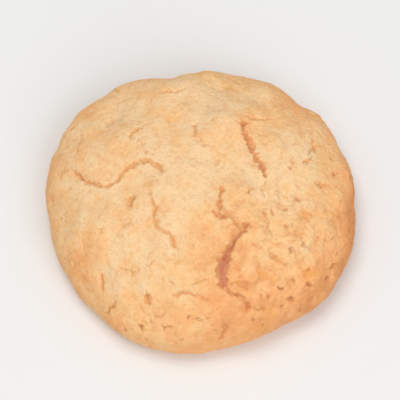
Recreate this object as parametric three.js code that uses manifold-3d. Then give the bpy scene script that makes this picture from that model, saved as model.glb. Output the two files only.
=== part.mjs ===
// An amaretti cookie: one soft almond biscuit, piped as a round of dough and baked into a low dome.
// Its crust swelled and split as it dried, so it carries one wide fissure, narrower cracks, hairlines
// and pits, and it is craggy where it browned. It is a single solid on a flat base, in millimetres,
// with +Z up. The origin is the middle of its underside. +Y points away from the eater, and +X right.
//
// A place on the crust is given by its chart: how far east (+X) and north (+Y) of the crown it lies,
// measured along the crust, as a tape laid over the dome would read.

import * as THREE from "three";
import { mergeVertices } from "three/addons/utils/BufferGeometryUtils.js";
import Module from "manifold-3d";

const wasm = await Module();
wasm.setup();

// The driving sizes of the dome.
const RADIUS = 26;
const HEIGHT = 16;
const WIDEST_AT = 4.2; // the height at which the side stands upright
const FOOT_INSET = 2.0; // how far the side tucks in under the widest ring
const SHOULDER = 0.55; // how far out the top stays flat, as a share of the radius
const FLANK = 0.74; // how high the side starts to turn in, as a share of the height
const TUCK_AT = 0.9; // the height that steers the tuck of the foot

// The outline seen from above: waves round the rim, each with its share of the radius and the heading
// of one of its crests in degrees.
const OUTLINE_WAVES = [
  { crests: 2, share: 0.02, heading: -12 },
  { crests: 3, share: 0.018, heading: 18 },
  { crests: 4, share: 0.014, heading: -28 },
  { crests: 5, share: 0.004, heading: -33 },
  { crests: 6, share: 0.006, heading: 27 },
  { crests: 9, share: 0.003, heading: 4 },
  { crests: 14, share: 0.002, heading: 11 },
];

// The relief of the crust, apart from its cracks. Crests reach about twice the height given here.
const SWELL = { wavelength: 13, height: 0.26, seed: 1 };
const BUMPS = { wavelength: 5.2, height: 0.1, seed: 7 };
const CRAGS = { wavelength: 2.7, height: 0.09, seed: 13 };
const CRAG_PATCH = { east: 13, north: -13, core: 6, reach: 17 }; // where the crust broke up most
const CRAG_LEAST = 0.2; // the share of the crags left elsewhere
const CALM_FROM = 0.6; // how far down the side the relief starts to fade, as a share of the side
const CALM_LEFT = 0.25; // the share of the relief left at the foot

// The lines of the four longest cracks. Their points, as those of all cracks, are chart places.
const FISSURE = [
  [8, -7.6], [6.9, -9], [5.7, -10.6], [4.9, -12.2], [4.2, -14], [3.9, -16.6], [4.1, -19.4],
];
const NORTHERN = [
  [6.8, 12], [7.9, 8.4], [9.2, 5.5], [10.2, 2.9], [10.9, 0.2],
];
const BROW = [
  [-22.5, 4.4], [-20.6, 2.2], [-18.4, 0.4], [-15.4, -0.1], [-11.8, 2.6], [-8.5, 3.5], [-5.5, 1.1],
];
const WANDERER = [
  [-8.8, -0.3], [-8.4, -2.2], [-7.5, -4.9], [-7.2, -8.2], [-4.9, -10], [-4.2, -12], [-2.8, -15],
];

// The cracks that show most. Width is across the mouth, depth is below the crust, and taper is how fast
// the crack widens from its tips, as shares of its width for its whole length. Head is the share of its
// width and depth that a crack has where it starts.
const CRACKS = [
  // The wide fissure, its tail and the short arm beside its head.
  { width: 2.0, depth: 2.2, taper: 20, head: 0.8, points: FISSURE },
  { width: 1.1, depth: 1.4, taper: 6, points: [[4, -18.5], [5.6, -20], [8.3, -21.7], [8.1, -23.3]] },
  { width: 1.2, depth: 1.2, taper: 5, points: [[5.4, -7.3], [6.3, -8.3], [6.7, -9.8]] },
  // The stem that leads to it from the crown, and the torn place at the stem's end.
  { width: 1.0, depth: 1.3, taper: 6, points: [[3.6, -0.7], [3.5, -2.7], [3.2, -4.6], [3.1, -6.4]] },
  { width: 1.6, depth: 1.3, taper: 4, points: [[1.5, -5.9], [3.1, -6.5], [4.9, -7]] },
  // The two that run down from the far side.
  { width: 1.2, depth: 1.5, taper: 12, points: NORTHERN },
  { width: 0.9, depth: 0.8, points: [[-0.6, 11.3], [-0.8, 7.6]] },
  // The brow on the left, the one that wanders down the middle, and the oval hole between them.
  { width: 1.1, depth: 0.75, taper: 12, points: BROW },
  { width: 0.9, depth: 0.85, taper: 4, points: WANDERER },
  { width: 1.4, depth: 0.85, taper: 9, points: [[-11.3, -2.5], [-11.9, -4.8]] },
  // The short ones near the foot, from the left round to the right.
  { width: 0.6, depth: 0.5, points: [[-15, -16], [-13.4, -15.4], [-11.4, -15.9], [-9.3, -15.1]] },
  { width: 0.9, depth: 0.8, taper: 5, points: [[-17.9, -15.4], [-17.7, -17.3], [-17.2, -19.4]] },
  { width: 0.9, depth: 0.75, points: [[-17.7, -23], [-15.9, -21.7], [-14.2, -20.4]] },
  { width: 1.3, depth: 1.0, taper: 6, points: [[-9, -19.1], [-9.1, -21.7]] },
  { width: 0.9, depth: 0.8, taper: 5, points: [[-5.2, -20.5], [-2.6, -19.6], [-0.3, -20.3], [2.6, -21.5]] },
  { width: 1.0, depth: 0.8, taper: 5, points: [[3.8, -24.6], [4.5, -27], [3.5, -29.3]] },
  { width: 0.8, depth: 0.7, points: [[4.7, -17.8], [7, -18.4], [9, -17.7]] },
  { width: 0.9, depth: 0.7, points: [[10.9, -11.3], [12.6, -13.3], [15, -14.9]] },
];

// Hairlines are many and small, so a rule scatters them about the crown. Only those on its far side are
// kept, because the cracks on the near side are placed one by one.
const HAIRLINES = {
  count: 20,
  behind: 2, // how far north of the crown the nearest is kept
  nearest: 11,
  farthest: 30,
  shortest: 3,
  longest: 7,
  mostBow: 0.3, // how far its middle stands off its line, as a share of half its length
  width: 0.7,
  depth: 0.6,
};

// Pits, where bubbles broke the browned crust, from the largest to the smallest.
const PIT_PLACES = [
  [23.9, -13.2], [15.1, -12.1], [18.9, -17.3], [14.2, -18.7], [16.4, -20.2], [20.7, 0.7],
  [12.4, -13.2], [12, -20.5], [14.5, -14.4], [22.8, -15.9], [18.7, -14.7], [14.4, -5],
  [16.2, -17.1], [15.1, -22.4], [16.3, -23.8], [9.3, -24.4], [23.3, 6.9], [21.9, -18.9],
];
const PIT_LARGEST = 0.68;
const PIT_SMALLEST = 0.36;
const PIT_RAISED = 0.1; // how far the bubble's middle stands above the crust, as a share of its size

// How finely the meshes are drawn.
const BALL_DETAIL = 21; // splits of each side of the ball's triangles
const FOOT_ANGLE = THREE.MathUtils.degToRad(112); // where the foot lies on the ball, from its top
const CRACK_STEP = 1.25; // from one station of a crack to the next
const WAVES = 7; // plane waves in each kind of relief
const GOLDEN_ANGLE = Math.PI * (3 - Math.sqrt(5));

// How a crack tears. Its lips flare above the crust, so that its wedge cuts right through the relief.
const STRAY = 0.28; // how far a station strays from the crack's line
const LIP_LEAST = 0.7; // the least and the most that a lip's share of the width comes to
const LIP_MOST = 1.25;
const TIP = 0.08; // how wide the crack's tips are, as a share of its width
const TAPER = 3.2; // the taper of a crack that gives none
const HEAD_UNTIL = 0.35; // how far along a crack its head reaches, and from where it has its full width
const FULL_FROM = 0.55;
const LIP_LIFT = 0.15; // how high the wedge's lips and its ridge stand, as shares of the width
const RIDGE_LIFT = 0.9;

// Where each kind of draw starts counting, so that no two kinds share their draws.
const DRAWS = { hairlineLength: 0, hairlineTurn: 200, hairlineBow: 300, lip: 1e3, stray: 9e3 };

const crustColour = new THREE.Color(0xeebb82);

// The side of the cookie from the crown to the foot: x is the distance from the axis, y the height.
const side = new THREE.Path();
side.moveTo(0, HEIGHT);
side.bezierCurveTo(SHOULDER * RADIUS, HEIGHT, RADIUS, FLANK * HEIGHT, RADIUS, WIDEST_AT);
side.quadraticCurveTo(RADIUS, TUCK_AT, RADIUS - FOOT_INSET, 0);
const SIDE_LENGTH = side.getLength();

/** A repeatable draw from 0 to 1 for each whole number. */
function draw(number) {
  const spread = Math.sin(number * 12.9898 + 4.1414) * 43758.5453;
  return spread - Math.floor(spread);
}

/** A value between two ends, drawn for a number. */
function drawBetween(low, high, number) {
  return low + (high - low) * draw(number);
}

/** How the rim departs from a circle at a heading in radians, as a factor on the radius. */
function outlineFactor(heading) {
  return OUTLINE_WAVES.reduce((sum, wave) => {
    const fromCrest = heading - THREE.MathUtils.degToRad(wave.heading);
    return sum + wave.share * Math.cos(wave.crests * fromCrest);
  }, 1);
}

/** Uneven waves over the chart: plane waves whose headings and lengths never line up. */
function unevenWaves({ wavelength, height, seed }, east, north) {
  let sum = 0;
  for (let i = 0; i < WAVES; i++) {
    const heading = GOLDEN_ANGLE * (i + seed);
    const stretch = drawBetween(0.8, 1.3, seed * 31 + i);
    const along = (east * Math.cos(heading) + north * Math.sin(heading)) / (wavelength * stretch);
    sum += Math.sin(2 * Math.PI * (along + draw(seed * 57 + i)));
  }
  return (height * sum) / Math.sqrt(WAVES / 2);
}

/** How much of the crags a place gets: all of them in the patch's core, and a share beyond its reach. */
function cragShare(east, north) {
  const away = Math.hypot(east - CRAG_PATCH.east, north - CRAG_PATCH.north);
  return 1 - (1 - CRAG_LEAST) * THREE.MathUtils.smoothstep(away, CRAG_PATCH.core, CRAG_PATCH.reach);
}

/** How much of the relief is left at a place, because the foot set early and stayed smooth. */
function calm(east, north) {
  const share = Math.hypot(east, north) / SIDE_LENGTH;
  return 1 - (1 - CALM_LEFT) * THREE.MathUtils.smoothstep(share, CALM_FROM, 1);
}

/** The height of the crust's relief at a chart place, along the crust's normal. */
function relief(east, north) {
  const crags = cragShare(east, north) * unevenWaves(CRAGS, east, north);
  return calm(east, north) * (unevenWaves(SWELL, east, north) + unevenWaves(BUMPS, east, north) + crags);
}

/** The smooth dome's point and outward normal at a chart place. */
function domeAt(east, north) {
  const share = Math.min(Math.hypot(east, north) / SIDE_LENGTH, 1);
  const heading = Math.atan2(north, east);
  const { x: radius, y: height } = side.getPoint(share);
  const run = side.getTangent(share);
  const widened = radius * (1 + (outlineFactor(heading) - 1) * (radius / RADIUS) ** 2);
  return {
    point: new THREE.Vector3(widened * Math.cos(heading), widened * Math.sin(heading), height),
    normal: new THREE.Vector3(-run.y * Math.cos(heading), -run.y * Math.sin(heading), run.x),
  };
}

/** The point that lies above the crust, relief included, by the given lift. */
function crustPoint(east, north, lift = 0) {
  const { point, normal } = domeAt(east, north);
  return point.addScaledVector(normal, relief(east, north) + lift);
}

/** A closed geometry as a manifold-3d solid. */
function solidOf(geometry) {
  geometry.deleteAttribute("normal");
  geometry.deleteAttribute("uv");
  const merged = mergeVertices(geometry);
  return new wasm.Manifold(
    new wasm.Mesh({
      numProp: 3,
      vertProperties: new Float32Array(merged.attributes.position.array),
      triVerts: new Uint32Array(merged.index.array),
    }),
  );
}

/** The dough before its cracks: a ball pulled into the shape of the dome, with a belly below the table. */
function dough() {
  const ball = new THREE.IcosahedronGeometry(1, BALL_DETAIL);
  const position = ball.getAttribute("position");
  const place = new THREE.Vector3();
  for (let i = 0; i < position.count; i++) {
    place.fromBufferAttribute(position, i).normalize();
    const fromTop = Math.acos(THREE.MathUtils.clamp(place.z, -1, 1));
    const heading = Math.atan2(place.y, place.x);
    const reach = SIDE_LENGTH * Math.min(fromTop / FOOT_ANGLE, 1);
    const point = crustPoint(reach * Math.cos(heading), reach * Math.sin(heading));
    if (fromTop > FOOT_ANGLE) {
      const below = (fromTop - FOOT_ANGLE) / (Math.PI - FOOT_ANGLE);
      point.multiplyScalar(Math.cos((below * Math.PI) / 2));
      point.z -= WIDEST_AT * Math.sin((below * Math.PI) / 2);
    }
    position.setXYZ(i, point.x, point.y, point.z);
  }
  return solidOf(ball);
}

/** The block below the table, which leaves the underside flat. */
function belowTable() {
  const block = new THREE.BoxGeometry(4 * RADIUS, 4 * RADIUS, HEIGHT);
  block.translate(0, 0, -HEIGHT / 2);
  return solidOf(block);
}

/**
 * The wedge that opens a crack: a four-sided tube led along its points, with its keel down in the dough.
 * Its stations stray from the line and its lips are ragged, as the crust tears from crumb to crumb.
 */
function crackWedge({ points, width, depth, taper = TAPER, head = 1 }, number) {
  const places = points.map(([east, north]) => new THREE.Vector3(east, north, 0));
  const route = new THREE.CatmullRomCurve3(places);
  const steps = Math.max(3, Math.round(route.getLength() / CRACK_STEP));
  const wedge = new THREE.CylinderGeometry(1, 1, 1, 4, steps);
  const position = wedge.getAttribute("position");
  for (let i = 0; i < position.count; i++) {
    const along = position.getY(i) + 0.5;
    const station = Math.round(along * steps);
    const lip = Math.round(position.getX(i));
    const up = Math.round(position.getZ(i));
    const swelling = head + (1 - head) * THREE.MathUtils.smoothstep(along, HEAD_UNTIL, FULL_FROM);
    const opening = swelling * Math.min(1, TIP + taper * Math.min(along, 1 - along));
    const ragged = drawBetween(LIP_LEAST, LIP_MOST, DRAWS.lip + 200 * number + 3 * station + lip);
    const stray = drawBetween(-STRAY, STRAY, DRAWS.stray + 100 * number + station);
    const middle = route.getPointAt(along);
    const heading = route.getTangentAt(along);
    const across = stray + lip * (width / 2) * opening * ragged;
    const lift = up < 0 ? -depth * opening : width * (up > 0 ? RIDGE_LIFT : LIP_LIFT);
    const point = crustPoint(middle.x + heading.y * across, middle.y - heading.x * across, lift);
    position.setXYZ(i, point.x, point.y, point.z);
  }
  return solidOf(wedge);
}

/** The place of one of a count, spread evenly over a ring, as seeds are in a sunflower's head. */
function scattered({ count, nearest, farthest }, number) {
  const reach = Math.sqrt(THREE.MathUtils.lerp(nearest ** 2, farthest ** 2, (number + 0.5) / count));
  const heading = GOLDEN_ANGLE * number;
  return new THREE.Vector2(reach * Math.cos(heading), reach * Math.sin(heading));
}

/** A short crack of three points, drawn for a number, that runs across or round the dome. */
function hairline(number) {
  const { shortest, longest, mostBow, width, depth } = HAIRLINES;
  const place = scattered(HAIRLINES, number);
  const half = drawBetween(shortest, longest, DRAWS.hairlineLength + number) / 2;
  const turn = Math.PI * draw(DRAWS.hairlineTurn + number);
  const run = new THREE.Vector2(half * Math.cos(turn), half * Math.sin(turn));
  const bow = drawBetween(-mostBow, mostBow, DRAWS.hairlineBow + number);
  const points = [-1, 0, 1].map((end) => [
    place.x + end * run.x - (1 - end * end) * bow * run.y,
    place.y + end * run.y + (1 - end * end) * bow * run.x,
  ]);
  return { points, width, depth };
}

/** The bubble that leaves a pit at a place, sized by how far down the list the place comes. */
function pit([east, north], number) {
  const size = THREE.MathUtils.lerp(PIT_LARGEST, PIT_SMALLEST, number / (PIT_PLACES.length - 1));
  const bubble = new THREE.IcosahedronGeometry(size, 0);
  const centre = crustPoint(east, north, size * PIT_RAISED);
  bubble.translate(centre.x, centre.y, centre.z);
  return solidOf(bubble);
}

/** The whole cookie: trimmed flat, cracked, pitted, and set with its middle over the origin. */
function cookieGeometry() {
  const hairlines = Array.from({ length: HAIRLINES.count }, (_, number) => hairline(number));
  const cracks = [...CRACKS, ...hairlines.filter(({ points }) => points[1][1] > HAIRLINES.behind)];
  const cuts = [belowTable(), ...cracks.map(crackWedge), ...PIT_PLACES.map(pit)];
  const cookie = cuts.reduce((solid, cut) => solid.subtract(cut), dough());
  const { vertProperties, triVerts } = cookie.getMesh();
  const geometry = new THREE.BufferGeometry();
  geometry.setAttribute("position", new THREE.BufferAttribute(vertProperties, 3));
  geometry.setIndex(new THREE.BufferAttribute(triVerts, 1));
  geometry.computeBoundingBox();
  const middle = geometry.boundingBox.getCenter(new THREE.Vector3());
  geometry.translate(-middle.x, -middle.y, 0);
  geometry.computeVertexNormals();
  return geometry;
}

const cookie = new THREE.Mesh(
  cookieGeometry(),
  new THREE.MeshStandardMaterial({ color: crustColour, roughness: 0.85, metalness: 0 }),
);
cookie.name = "cookie";

const group = new THREE.Group();
group.add(cookie);

export default group;
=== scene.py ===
# %% [markdown]
# This lesson dresses one soft almond cookie. The real one is a small mound of almond dough that swelled in
# the oven into a low dome and split as its crust dried. A plain solid of it is already packed, with the true
# size, outline and main cracks, and it is loaded here as a fixed frame.
# The solid is never moved. The fine crust is a new mesh that takes its place in the picture.

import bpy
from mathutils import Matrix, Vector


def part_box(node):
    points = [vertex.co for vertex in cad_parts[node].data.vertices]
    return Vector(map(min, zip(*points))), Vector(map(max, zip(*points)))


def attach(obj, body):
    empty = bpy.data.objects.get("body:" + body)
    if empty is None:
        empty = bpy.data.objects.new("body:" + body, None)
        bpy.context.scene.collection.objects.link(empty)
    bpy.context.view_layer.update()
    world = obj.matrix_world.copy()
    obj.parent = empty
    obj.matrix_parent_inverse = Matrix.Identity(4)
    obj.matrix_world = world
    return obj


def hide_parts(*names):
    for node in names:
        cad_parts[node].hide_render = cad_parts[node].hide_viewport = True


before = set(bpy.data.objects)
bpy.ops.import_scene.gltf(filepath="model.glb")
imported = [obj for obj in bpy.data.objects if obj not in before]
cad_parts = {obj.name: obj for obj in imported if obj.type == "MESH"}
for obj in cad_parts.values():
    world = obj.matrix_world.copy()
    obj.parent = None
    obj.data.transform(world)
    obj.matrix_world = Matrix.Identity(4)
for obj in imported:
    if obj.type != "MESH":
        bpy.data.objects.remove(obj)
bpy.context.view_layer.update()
low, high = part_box("cookie")
print("nodes in the frame:", len(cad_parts))
print("the solid is", [round(1000 * side, 1) for side in high - low], "mm")

# %% [markdown]
# Blender works in metres, and a cookie is easier to think of in millimetres. So every size in this lesson
# is in millimetres, and one factor turns it into metres when the mesh is made.
# Random-looking values come from a formula that gives the same draw for the same number, every time.
# It is the formula that made the solid's cracks, so that the fine cracks fall in the same places.

# %% Units and draws
import math

import bpy
import numpy as np
from mathutils import Vector, noise

MM = 0.001
GOLDEN_ANGLE = math.pi * (3 - math.sqrt(5))


def draw(number):
    """A repeatable draw from 0 to 1 for each whole number."""
    spread = np.sin(number * 12.9898 + 4.1414) * 43758.5453
    return spread - np.floor(spread)


def draw_between(lowest, highest, number):
    """A value between two ends, drawn for a number."""
    return lowest + (highest - lowest) * draw(number)


def smoothstep(value, start, end):
    """0 before start, 1 after end, and a smooth rise between them."""
    share = np.clip((value - start) / (end - start), 0, 1)
    return share * share * (3 - 2 * share)


print("a first draw is", round(float(draw(1)), 3))

# %% [markdown]
# Seen from the side, the cookie is a low dome: nearly flat on top, round at the shoulder, upright near the
# tray and tucked in a little at the foot. Two Bezier curves, the kind that Blender's own curves use, give
# that side. Measuring along it lets a place on the crust be given as a tape laid over the dome would read.
# Such a place is called a chart place here: so many millimetres east (+X) and north (+Y) of the crown.

# %% The side of the dome
RADIUS = 26
HEIGHT = 16
WIDEST_AT = 4.2  # the height at which the side stands upright
FOOT_INSET = 2.0  # how far the side tucks in under the widest ring
SHOULDER = 0.55  # how far out the top stays flat, as a share of the radius
FLANK = 0.74  # how high the side starts to turn in, as a share of the height
TUCK_AT = 0.9  # the height that steers the tuck of the foot


def bezier(points, samples=1500):
    """Places along a Bezier curve, found by halving between its points again and again."""
    share = np.linspace(0, 1, samples)[:, None]
    stages = [np.array(point, float) for point in points]
    while len(stages) > 1:
        stages = [a + (b - a) * share for a, b in zip(stages, stages[1:])]
    return stages[0]


dome = bezier([(0, HEIGHT), (SHOULDER * RADIUS, HEIGHT), (RADIUS, FLANK * HEIGHT), (RADIUS, WIDEST_AT)])
tuck = bezier([(RADIUS, WIDEST_AT), (RADIUS, TUCK_AT), (RADIUS - FOOT_INSET, 0)])
side = np.vstack([dome, tuck[1:]])
walked = np.concatenate([[0], np.cumsum(np.hypot(*np.diff(side, axis=0).T))])
side_run = np.gradient(side, walked, axis=0)
SIDE_LENGTH = walked[-1]
print("the side is", round(SIDE_LENGTH, 2), "mm long from the crown to the foot")

# %% [markdown]
# Seen from above, a mound of dough never bakes to a true circle. A few waves round its rim, two, three and
# four to the turn, give it the soft lopsided outline of the real one. Its top isn't a true dome either: it
# swells and dips. That could be sculpted by hand, but sums of sine waves with headings that never line up
# do it by rule, and they repeat exactly what the solid has.

# %% The outline and the swell of the crust
OUTLINE_WAVES = [  # crests round the rim, share of the radius, heading of a crest in degrees
    (2, 0.02, -12),
    (3, 0.018, 18),
    (4, 0.014, -28),
    (5, 0.004, -33),
    (6, 0.006, 27),
    (9, 0.003, 4),
    (14, 0.002, 11),
]
SWELL = (13, 0.26, 1)  # wavelength, height and seed
BUMPS = (5.2, 0.1, 7)
CRAGS = (2.7, 0.09, 13)
CRAG_PATCH = (13, -13)  # the chart place about which the crust broke up most
CRAG_CORE = 6
CRAG_REACH = 17
CRAG_LEAST = 0.2  # the share of the crags left elsewhere
CALM_FROM = 0.6  # how far down the side the relief starts to fade, as a share of the side
CALM_LEFT = 0.25  # the share of the relief left at the foot
WAVES = 7
WAVE_STRETCH = (0.8, 1.3)  # the least and the most that a wave's length is stretched


def outline_factor(heading):
    """How the rim departs from a circle, as a factor on the radius."""
    factor = 1
    for crests, share, crest in OUTLINE_WAVES:
        factor = factor + share * np.cos(crests * (heading - math.radians(crest)))
    return factor


def uneven_waves(kind, east, north):
    """Uneven waves over the chart: plane waves whose headings and lengths never line up."""
    wavelength, height, seed = kind
    total = 0
    for i in range(WAVES):
        heading = GOLDEN_ANGLE * (i + seed)
        stretch = draw_between(*WAVE_STRETCH, seed * 31 + i)
        along = (east * math.cos(heading) + north * math.sin(heading)) / (wavelength * stretch)
        total = total + np.sin(2 * math.pi * (along + draw(seed * 57 + i)))
    return height * total / math.sqrt(WAVES / 2)


def crag_share(east, north, least=CRAG_LEAST):
    """How broken up the crust is: 1 in the patch's core, and the least beyond its reach."""
    away = np.hypot(east - CRAG_PATCH[0], north - CRAG_PATCH[1])
    return 1 - (1 - least) * smoothstep(away, CRAG_CORE, CRAG_REACH)


def calm(east, north):
    """How much of the relief is left, because the foot set early and stayed smooth."""
    return 1 - (1 - CALM_LEFT) * smoothstep(np.hypot(east, north) / SIDE_LENGTH, CALM_FROM, 1)


def relief(east, north):
    """The height of the solid's relief at a chart place, apart from its cracks."""
    crags = crag_share(east, north) * uneven_waves(CRAGS, east, north)
    return calm(east, north) * (uneven_waves(SWELL, east, north) + uneven_waves(BUMPS, east, north) + crags)


rim = outline_factor(np.linspace(0, 2 * math.pi, 360))
print("the rim's radius runs from", round(RADIUS * rim.min(), 1), "to", round(RADIUS * rim.max(), 1), "mm")

# %% [markdown]
# The mesh is wound as rings of points, like a ball of wool: from the crown out to the foot, and back in
# under the cookie to the middle of its base. Each ring out from the crown has six points more than the last,
# which keeps the triangles the same size all over, about a fifth of a millimetre here. Blender's UV sphere
# would crowd its points at the crown, and its ico sphere can't be had at a size in between.
# The base shows less, so it has a third as many rings, about twice as far apart.

# %% The rings of the skin
CRUST_RINGS = 165
BASE_RINGS = CRUST_RINGS // 3
PER_RING = 6


def ring_headings(size):
    """The headings of a ring's points."""
    return np.arange(size) * 2 * math.pi / size


def winding(outer_to_inner):
    """The sizes of rings, with a single point in place of the ring numbered 0."""
    return [max(1, PER_RING * number) for number in outer_to_inner]


crust_sizes = winding(range(CRUST_RINGS + 1))
base_sizes = winding(range(BASE_RINGS, -1, -1))
crust_heading = np.concatenate([ring_headings(size) for size in crust_sizes])
crust_share = np.repeat(np.arange(CRUST_RINGS + 1) / CRUST_RINGS, crust_sizes)
base_heading = np.concatenate([ring_headings(size) for size in base_sizes])
base_share = np.repeat(np.arange(BASE_RINGS, -1, -1) / (BASE_RINGS + 1), base_sizes)
east = SIDE_LENGTH * crust_share * np.cos(crust_heading)
north = SIDE_LENGTH * crust_share * np.sin(crust_heading)
print("the skin has", len(crust_share), "points on the crust and", len(base_share), "on the base")

# %% [markdown]
# Each chart place becomes a point in space, and a direction that stands straight out of the crust there.
# Everything that follows, from crumbs to cracks, only moves a point in or out along that direction.
# This is what a Displace modifier does too, but in plain numbers it is easier to say where and how much.

# %% From the chart to the dome
out = np.column_stack([np.cos(crust_heading), np.sin(crust_heading)])


def along_side(values):
    """Values of the side's curve at each crust point."""
    return np.interp(crust_share * SIDE_LENGTH, walked, values)


radius = along_side(side[:, 0])
widened = radius * (1 + (outline_factor(crust_heading) - 1) * (radius / RADIUS) ** 2)
run = np.column_stack([along_side(side_run[:, 0]), along_side(side_run[:, 1])])
run = run / np.hypot(*run.T)[:, None]
smooth_dome = np.column_stack([widened[:, None] * out, along_side(side[:, 1])])
straight_out = np.column_stack([-run[:, 1:] * out, run[:, 0]])
print("the crown stands", round(smooth_dome[0, 2], 1), "mm high")

# %% [markdown]
# Baked almond meal is granular. Noise textures imitate that: a fractal noise is lumps on lumps, and a
# Voronoi noise splits space into cells, like crumbs pressed together. Blender has both as shader nodes and
# as plain functions. The functions are used for all that is large enough to cast a shadow, because the
# crust's shape then comes from its mesh, and it keeps it from every side. Their fractal and Voronoi noises
# are the same in every run, which not all of the functions beside them are.

# %% Noise in millimetres
SEED_SHIFT = np.array([7.31, 3.17, 5.73])  # how far apart the noises of two seeds are read
CELL_DRAW = (37.1, 17.3, 29.7)  # turns the middle of a cell into the number of its draw
PEBBLE_REACH = 0.68  # a crumb's radius as a share of the crumbs' spacing
PEBBLE_LEAST = 0.4  # the height of the lowest crumb as a share of the proudest
OCTAVE_SHRINK = 2.0  # how many times smaller the lumps of each octave are
OCTAVE_FADE = 1.0  # at 1 they are lower by the same factor, at 0 they are as high as the first


def fractal(places, octaves):
    """Fractal noise about 0, whose largest lumps are about 1 across."""
    return np.array([noise.fractal(place, OCTAVE_FADE, OCTAVE_SHRINK, octaves) for place in places.tolist()])


def lumps(size, seed, octaves=3):
    """Fractal noise about 0 at each crust point, whose largest lumps are about size across."""
    return fractal(smooth_dome / size + seed * SEED_SHIFT, octaves)


def drift(size, seed):
    """An uneven push east and north at each crust point, about 0, that changes over size."""
    return np.column_stack([lumps(size, seed, 1), lumps(size, -seed, 1)])


def cells(size, seed, pushed=0):
    """Cells about size across: how far their middle and nearest seam are, and a draw for each cell."""
    places = smooth_dome.copy()
    places[:, :2] += pushed
    found = [noise.voronoi(place) for place in (places / size + seed * SEED_SHIFT).tolist()]
    centre = np.array([near[0] for near, _ in found]) * size
    seam = np.array([near[1] - near[0] for near, _ in found]) * size / 2
    own = np.array([draw(middles[0].dot(Vector(CELL_DRAW))) for _, middles in found])
    return centre, seam, own


def pebbles(size, seed, pushed):
    """Rounded crumbs about size across, from 0 between them to 1 on top of the proudest."""
    centre, _, own = cells(size, seed, pushed)
    bulge = np.sqrt(np.clip(1 - (centre / (PEBBLE_REACH * size)) ** 2, 0, 1))
    return bulge * (PEBBLE_LEAST + (1 - PEBBLE_LEAST) * own)


print("a lump's height at the crown is", round(float(lumps(3, seed=1)[0]), 3))

# %% [markdown]
# The crust close up is a pebbly skin: soft puffs about two millimetres across, crumbs of about a
# millimetre packed against each other, and a fine tooth on top. The lower right of this cookie browned and
# broke up most, so the crumbs stand out there and lie low on the smooth, pale left. The crust also dried
# in plates, which settled at slightly different heights, so that a shallow crease runs between them.

# %% Crumbs and plates
CRUMBLY_LEAST = 0.34  # how much the crumbs stand out where the crust is smoothest
EAST_CRUMBLY = 0.4  # how much more they do towards the east rim
EAST_SIDE = (6, 22)  # from where to where east of the crown that grows
CRUMBLY_LIMITS = (0.2, 1.2)
PUFFS_LEAST = 0.1  # how much of the puffs is left where the crust is smoothest
LUMP_SIZE, LUMP_HEIGHT = 3.4, 0.1
PUFF_SIZE, PUFF_HEIGHT = 2.2, 0.15
CRUMB_SIZE, CRUMB_HEIGHT = 1.3, 0.155
SMALL_CRUMB_SIZE, SMALL_CRUMB_HEIGHT = 0.7, 0.1
TOOTH_SIZE, TOOTH_HEIGHT = 0.75, 0.1
PLATE_SIZE, PLATE_HEIGHT = 5.4, 0.07

crumbly = crag_share(east, north, CRUMBLY_LEAST) + EAST_CRUMBLY * smoothstep(east, *EAST_SIDE)
crumbly = np.clip(crumbly + 0.35 * lumps(7, seed=2, octaves=2), *CRUMBLY_LIMITS)
wander = 0.6 * drift(2.2, seed=3) + 0.35 * drift(0.8, seed=4)
_, plate_seam, plate_level = cells(PLATE_SIZE, seed=5, pushed=2 * wander)
lump = LUMP_HEIGHT * lumps(LUMP_SIZE, seed=7, octaves=4)
puffy = np.clip(crag_share(east, north, PUFFS_LEAST) + 0.3 * lumps(6, seed=18, octaves=2), 0, 1)
puff_rise = pebbles(PUFF_SIZE, seed=17, pushed=1.6 * wander)
puff = PUFF_HEIGHT * puffy * puff_rise
small_crumb = SMALL_CRUMB_HEIGHT * pebbles(SMALL_CRUMB_SIZE, seed=9, pushed=0.6 * wander)
crumb = CRUMB_HEIGHT * pebbles(CRUMB_SIZE, seed=6, pushed=wander) + small_crumb
tooth = TOOTH_HEIGHT * lumps(TOOTH_SIZE, seed=8, octaves=2)
plate = PLATE_HEIGHT * (plate_level - 0.5)
grain = crumbly * (lump + crumb + tooth) + puff + plate
print("the grain stands from", round(grain.min(), 2), "to", round(grain.max(), 2), "mm")

# %% [markdown]
# A crack is a line over the chart with a width and a depth. The smooth line through a few places is a
# Catmull-Rom curve, which passes through every place it is given. A real crack tears from crumb to crumb,
# so the crust points are pushed about a little before they are measured against the line: a smooth line
# measured by a shaken ruler comes out ragged. These are the solid's cracks, with the same places.

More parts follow.
